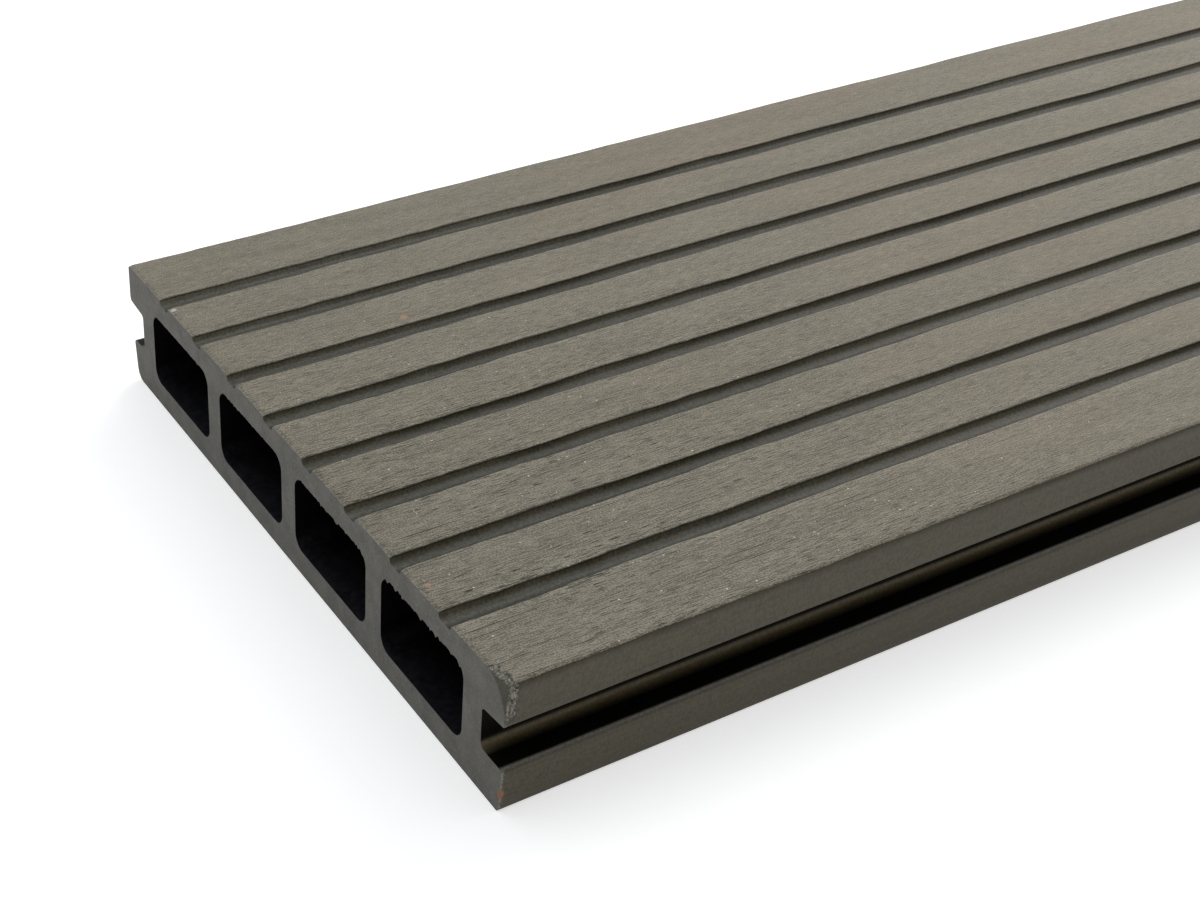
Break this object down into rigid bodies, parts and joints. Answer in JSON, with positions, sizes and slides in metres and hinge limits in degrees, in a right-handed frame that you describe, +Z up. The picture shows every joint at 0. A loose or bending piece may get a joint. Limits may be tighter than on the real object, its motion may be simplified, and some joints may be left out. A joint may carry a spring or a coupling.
{
  "type": "decking board",
  "caption": "Hollow composite decking board with a grooved walking face, clip slots along both sides and square cut ends.",
  "frame": {"origin": "middle of the underside, halfway along the board", "axes": "+X along the board, away from the end with the chipped corner; +Y across its width; +Z up out of the grooved walking face"},
  "size_m": [2.2, 0.15, 0.025],
  "materials": {
    "composite": "brushed grey-brown wood and plastic composite, matte"
  },
  "bodies": {
    "root": {"decking_board": "composite"}
  },
  "joints": []
}
